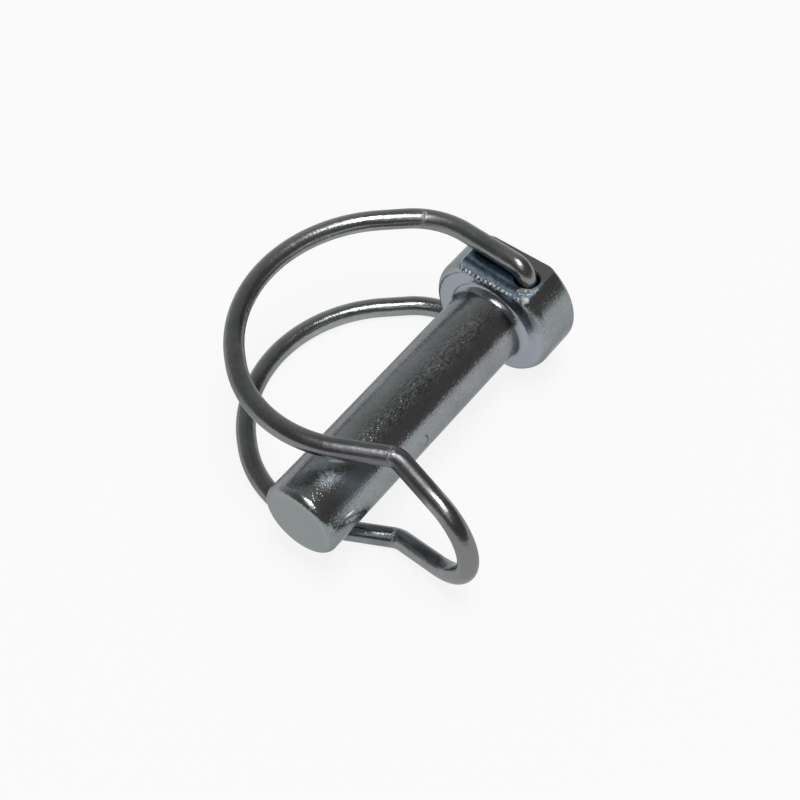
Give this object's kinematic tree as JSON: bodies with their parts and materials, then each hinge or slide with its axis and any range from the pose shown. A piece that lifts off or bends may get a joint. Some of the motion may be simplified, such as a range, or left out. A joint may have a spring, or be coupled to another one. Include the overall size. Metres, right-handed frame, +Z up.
{
  "type": "lynch pin",
  "caption": "Headed round pin with a double wire bail that swings on a cross hole in the head, rings the tube that the pin is put through, and springs over the tip by a finger loop.",
  "frame": {"origin": "on the pin's axis, at the underside of the head, where the tube's wall seats", "axes": "+X along the pin from its tip to its head, +Y towards the ring of the bail, +Z up, along the cross hole, as the pin lies on the lower arm of its bail"},
  "size_m": [0.0525, 0.0518, 0.0228],
  "materials": {
    "pin_zinc": "bright zinc plate over drawn and turned steel, lightly scuffed",
    "wire_zinc": "bright zinc plate over spring wire, with bending marks"
  },
  "bodies": {
    "pin": {"pin": "pin_zinc"},
    "bail": {"wire_bail": "wire_zinc"}
  },
  "joints": [
    {"name": "bail_swing", "type": "hinge", "parent": "pin", "child": "bail", "pos_m": [0.004, -0.0037, 0], "axis": [0, 0, 1], "range_deg": [-19, 319]}
  ]
}
